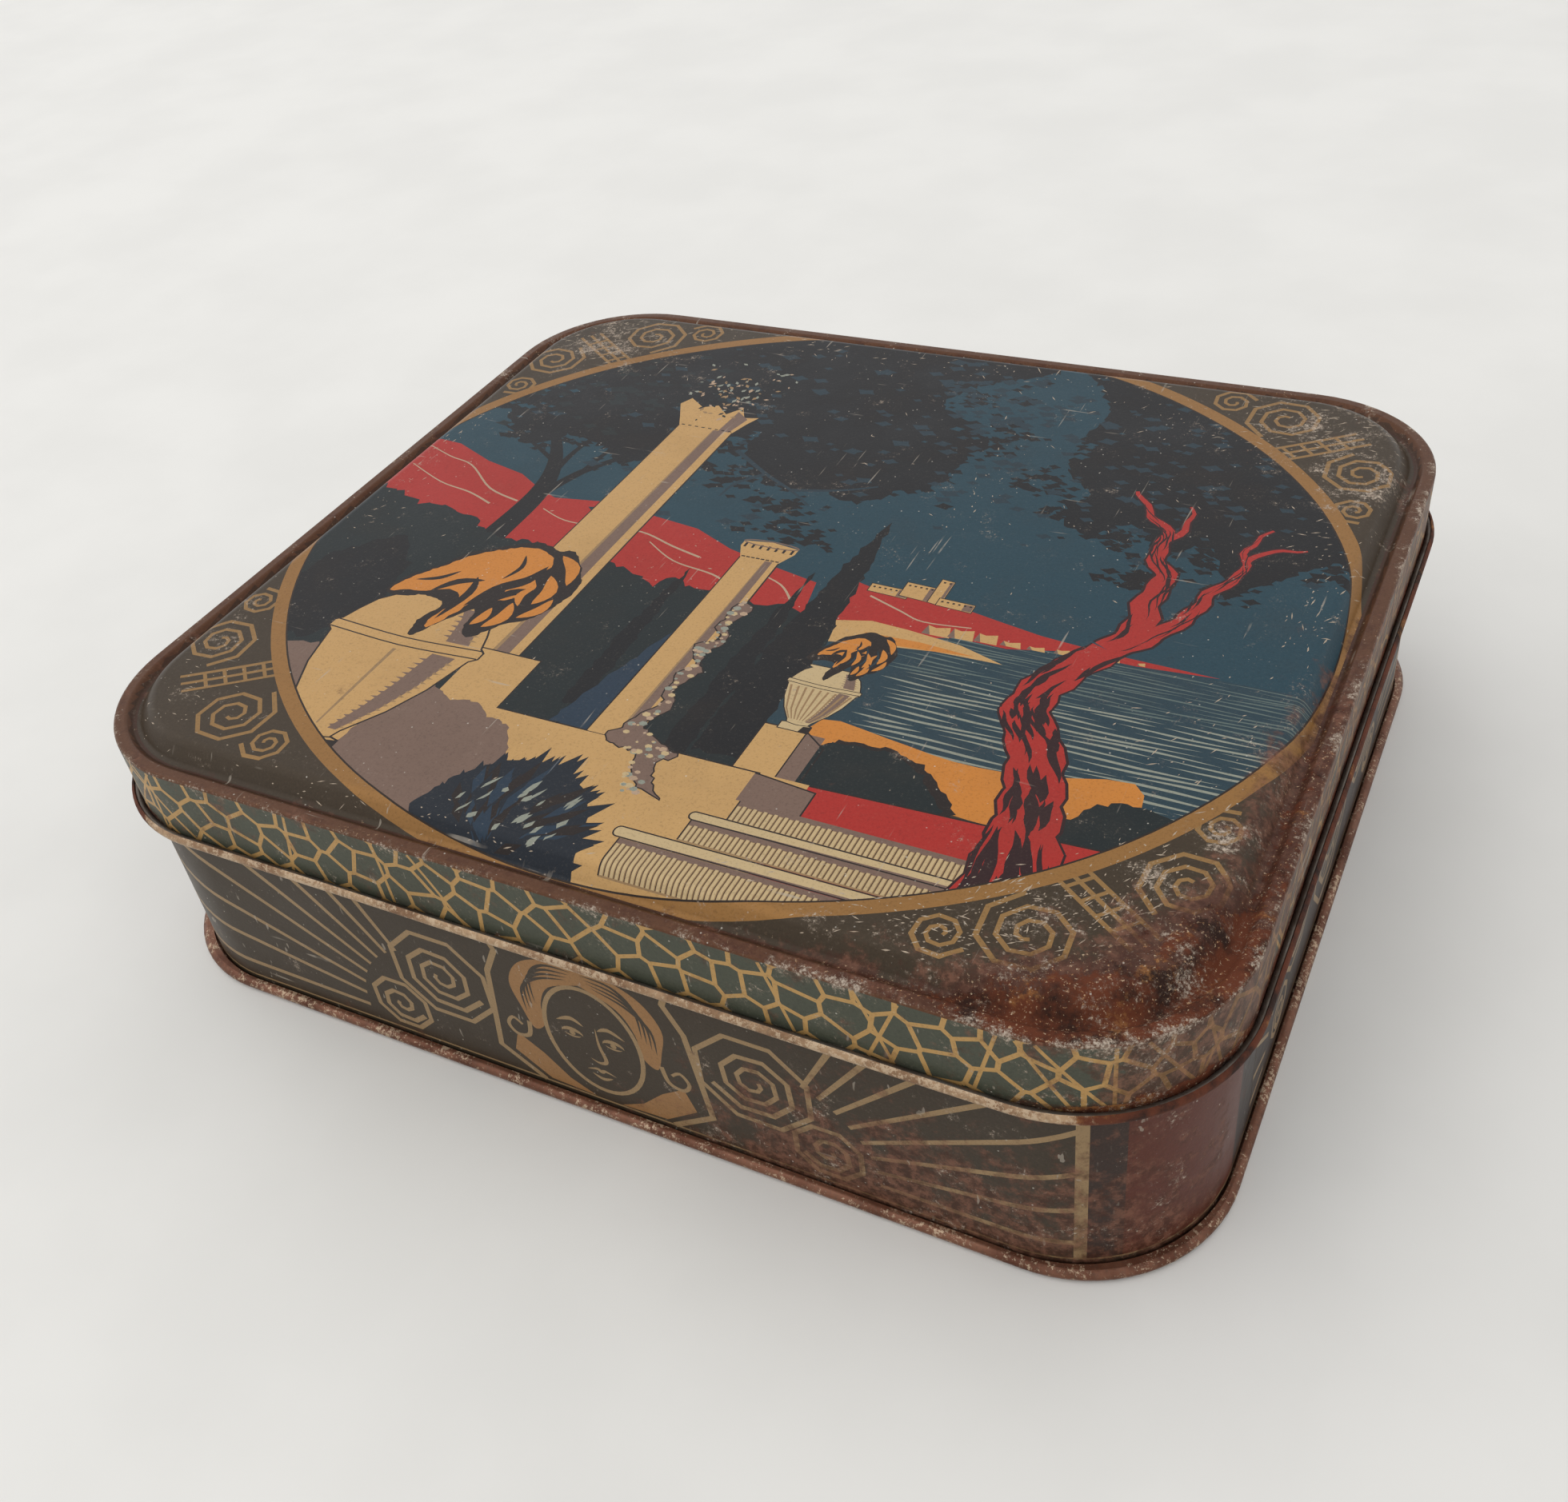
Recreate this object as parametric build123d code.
from build123d import *
import os

# Biscuit tin with a lift-off slip lid, in millimetres.
# Origin: on the surface the tin stands on, under its middle. +Z is up, -Y is the front.

# Driving dimensions
SHEET = 0.4              # thickness of the tinplate
LID_HALF = (119.8, 104.8)    # middle to the outside of the lid's skirt, along X and Y
LID_CORNER = 31.5        # outside corner radius of the skirt
RIDGE_TOP = 62.8         # height of the ridge round the lid
VALLEY_TOP = 61.5        # height of the valley inside the ridge
PANEL_TOP = 65.4         # height of the raised panel
HEM_HEIGHT = 46.2        # height of the middle of the lid's rolled hem
WIRE_RADIUS = 0.8        # wire inside the rolled hem
WIRE_PLAY = 0.02         # gap between that wire and the sheet round it
WALL_HALF = (118.8, 103.8)   # middle to the outside of the body's wall, along X and Y
WALL_CORNER = 30.4       # outside corner radius of the wall
WALL_TOP = 61.9          # height of the wall's top edge
TOP_HEM = 4.5            # height of the wall's folded top hem
BASE_HALF = (120.8, 105.8)   # middle to the outside of the base's folded edge
BASE_CORNER = 30.4       # outside corner radius of that edge
BASE_FOLD = 2.4          # height of that edge
FLANGE_TOP = 1.4         # height of the wall's bottom flange, inside that edge
FLOOR_TOP = 3.0          # height of the tin's inside floor
SEAM_PLACE = 62.0        # distance of each lock seam from the middle of its side
SEAM_REACH = 2.5         # half the width of the lock seam's folds
LAYER_GAP = 0.1          # gap between folded layers
FIT_GAP = 0.3            # gap between pieces that only lie close to each other


def offset_points(points, thickness):
    """The same bent line on the other face of a sheet that lies to the right of its run."""
    line = [Vector(*point) for point in points]
    moved = []
    for i, here in enumerate(line):
        back = here - line[i - 1] if i else line[1] - here
        ahead = line[i + 1] - here if i + 1 < len(line) else back
        side_back = Vector(back.Y, -back.X).normalized()
        side_ahead = Vector(ahead.Y, -ahead.X).normalized()
        shift = thickness / (1 + side_back.dot(side_ahead))
        moved.append(here + (side_back + side_ahead) * shift)
    return line, moved


def sheet_faces(points, radii):
    """Near and far lines of a bent sheet, with concentric bends, and the line across its start."""
    near, far = offset_points(points, SHEET)
    far_radii = []
    for i, radius in enumerate(radii):
        back = near[i + 1] - near[i]
        ahead = near[i + 2] - near[i + 1]
        turns_right = back.X * ahead.Y - back.Y * ahead.X < 0
        far_radii.append(radius - SHEET if turns_right else radius + SHEET)
    near_line = FilletPolyline(*near, radius=list(radii))
    far_line = FilletPolyline(*far, radius=far_radii)
    return near_line, far_line, Line(near[0], far[0])


def bent_sheet(points, radii):
    """Section of a bent sheet: points on its near face, with a bend radius at each inner point."""
    near, far, start = sheet_faces(points, radii)
    return make_face([near, far, start, Line(near @ 1, far @ 1)])


def carried_round(section, half, corner):
    """Ring made by a section that travels round a rectangle with round corners.

    The section is drawn in X and Y: X is the distance from the corner's centre, and Y is the
    height."""
    run_x = half[0] - corner
    run_y = half[1] - corner
    standing = Plane.XZ * section
    bend = revolve(standing, Axis.Z, revolution_arc=90)
    ring = Part()
    for turn, (side_x, side_y) in enumerate([(1, 1), (-1, 1), (-1, -1), (1, -1)]):
        out, along = (run_x, run_y) if turn % 2 == 0 else (run_y, run_x)
        side = extrude(Pos(out, -along, 0) * standing, amount=2 * along, dir=(0, 1, 0))
        ring += Rot(0, 0, 90 * turn) * side
        ring += Pos(side_x * run_x, side_y * run_y, 0) * Rot(0, 0, 90 * turn) * bend
    return ring


def rounded_plate(half, corner, inset, bottom, top):
    """Flat plate whose outline lies a given distance inside a rectangle with round corners."""
    outline = RectangleRounded(2 * (half[0] - inset), 2 * (half[1] - inset), corner - inset)
    return Pos(0, 0, bottom) * extrude(outline, top - bottom)


def lid_section():
    """Section of the lid from the edge of its flat panel to the end of its rolled hem."""
    foot = LID_CORNER - 5.2
    shoulder = foot - 3.2
    panel_end = shoulder - 2.0
    points = [
        (panel_end, PANEL_TOP),
        (shoulder, PANEL_TOP),
        (foot, VALLEY_TOP),
        (foot + 1.3, VALLEY_TOP),
        (foot + 2.6, RIDGE_TOP),
        (LID_CORNER, RIDGE_TOP),
        (LID_CORNER, HEM_HEIGHT),
    ]
    near, far, start = sheet_faces(points, [3.0, 1.5, 1.0, 1.0, 0.7])
    roll_inside = WIRE_RADIUS + WIRE_PLAY
    middle = (LID_CORNER + roll_inside, HEM_HEIGHT)
    roll_near = CenterArc(middle, roll_inside, 180, 245)
    roll_far = CenterArc(middle, roll_inside + SHEET, 180, 245)
    roll_end = Line(roll_near @ 1, roll_far @ 1)
    return make_face([near, far, start, roll_near, roll_far, roll_end])


def make_lid_shell():
    """Lid drawn from one sheet: raised panel, valley, ridge, skirt and rolled hem."""
    rim = carried_round(lid_section(), LID_HALF, LID_CORNER)
    panel_inset = 5.2 + 3.2 + 2.0
    return rim + rounded_plate(LID_HALF, LID_CORNER, panel_inset, PANEL_TOP - SHEET, PANEL_TOP)


def make_lid_hem_wire():
    """Wire inside the lid's hem: one length, with its two ends meeting at the back."""
    middle = LID_CORNER + WIRE_RADIUS + WIRE_PLAY
    section = Pos(middle, HEM_HEIGHT) * Circle(WIRE_RADIUS)
    ring = carried_round(section, LID_HALF, LID_CORNER)
    joint = Pos(0, LID_HALF[1], HEM_HEIGHT) * Box(0.4, 8, 4)
    return ring - joint


def wall_section():
    """Section of the body's wall, with its top edge folded over inwards."""
    fold_back = WALL_CORNER - 2 * SHEET - 2 * LAYER_GAP
    points = [
        (fold_back, WALL_TOP - TOP_HEM),
        (fold_back, WALL_TOP),
        (WALL_CORNER, WALL_TOP),
        (WALL_CORNER, FLANGE_TOP - SHEET),
    ]
    return bent_sheet(points, [0.48, 0.48])


def make_wall_ring():
    """The whole wall with its bottom flange, before it is parted at the two lock seams."""
    wall = carried_round(wall_section(), WALL_HALF, WALL_CORNER)
    flange_inset = SHEET + FIT_GAP
    flange = rounded_plate(BASE_HALF, BASE_CORNER, flange_inset, FLANGE_TOP - SHEET, FLANGE_TOP)
    hole = rounded_plate(WALL_HALF, WALL_CORNER, SHEET / 2, 0, FLANGE_TOP + 1)
    return wall + (flange - hole)


def outer_hook():
    """Lock seam in plan: the end that stays flush outside and hooks back on the inside."""
    layer = SHEET + LAYER_GAP
    inner_face = -2 * layer - SHEET
    points = [
        (inner_face, 0.8 - SEAM_REACH),
        (inner_face, SEAM_REACH),
        (0, SEAM_REACH),
        (0, -SEAM_REACH - 0.8),
    ]
    return bent_sheet(points, [0.62, 0.62])


def inner_hook():
    """Lock seam in plan: the end that steps inwards and hooks into the outer one."""
    layer = SHEET + LAYER_GAP
    hooked_face = -layer - SHEET
    points = [
        (0, SEAM_REACH + 3.0),
        (0, SEAM_REACH + 2.0),
        (-3 * layer, SEAM_REACH + 0.4),
        (-3 * layer, 0.5 - SEAM_REACH),
        (hooked_face, 0.5 - SEAM_REACH),
        (hooked_face, SEAM_REACH - 0.8),
    ]
    return bent_sheet(points, [0.9, 0.5, 0.26, 0.26])


def make_walls():
    """Two sheets, each bent round one corner pair and locked to the other by a folded seam."""
    ring = make_wall_ring()
    low = BASE_FOLD + 0.8
    high = WALL_TOP - TOP_HEM - 0.3
    window = (8, 2 * SEAM_REACH + 3.8, high - low)
    place = Pos(WALL_HALF[0], -SEAM_PLACE, 0)
    hooks = Pos(0, 0, low) * extrude(outer_hook(), high - low)
    steps = Pos(0, 0, low) * extrude(inner_hook(), high - low)
    for turned in (0, 180):
        seam = Rot(0, 0, turned) * place
        ring -= seam * Pos(0, 1.1, (low + high) / 2) * Box(*window)
        ring -= seam * Box(16, 2 * LAYER_GAP, 3 * WALL_TOP)
    halves = sorted(ring.solids(), key=lambda solid: solid.center().Y)
    front_hooks = [place * hooks, Rot(0, 0, 180) * place * steps]
    rear_hooks = [place * steps, Rot(0, 0, 180) * place * hooks]
    front = Part() + [halves[0], *front_hooks]
    rear = Part() + [halves[1], *rear_hooks]
    return front, rear


def make_base_plate():
    """Base: floor raised inside the wall, and an edge folded over the wall's flange."""
    rise = WALL_CORNER - SHEET - LAYER_GAP
    points = [(rise - 6, FLOOR_TOP), (rise, FLOOR_TOP), (rise, SHEET), (WALL_CORNER + 0.6, SHEET)]
    dish = carried_round(bent_sheet(points, [1.0, 0.6]), WALL_HALF, WALL_CORNER)
    floor_inset = WALL_CORNER - rise + 5
    floor = rounded_plate(WALL_HALF, WALL_CORNER, floor_inset, FLOOR_TOP - SHEET, FLOOR_TOP)
    round_radius = BASE_FOLD / 2
    straight_inset = round_radius - 0.01
    under = rounded_plate(BASE_HALF, BASE_CORNER, straight_inset, 0, SHEET)
    under -= rounded_plate(WALL_HALF, WALL_CORNER, -0.4, -1, FLOOR_TOP)
    over = rounded_plate(BASE_HALF, BASE_CORNER, straight_inset, BASE_FOLD - SHEET, BASE_FOLD)
    over -= rounded_plate(WALL_HALF, WALL_CORNER, -FIT_GAP, 0, FLOOR_TOP)
    middle = (BASE_CORNER - round_radius, round_radius)
    edge = Pos(*middle) * (Circle(round_radius) - Circle(round_radius - SHEET))
    edge &= Pos(middle[0] + 2, middle[1]) * Rectangle(4, 4)
    fold = carried_round(edge, BASE_HALF, BASE_CORNER)
    return dish + floor + under + over + fold


front_wall, rear_wall = make_walls()
nodes = {
    "lid_shell": make_lid_shell(),
    "lid_hem_wire": make_lid_hem_wire(),
    "front_wall": front_wall,
    "rear_wall": rear_wall,
    "base_plate": make_base_plate(),
}

os.makedirs("parts", exist_ok=True)
for name, shape in nodes.items():
    shape.label = name
    export_step(shape, f"parts/{name}.step")
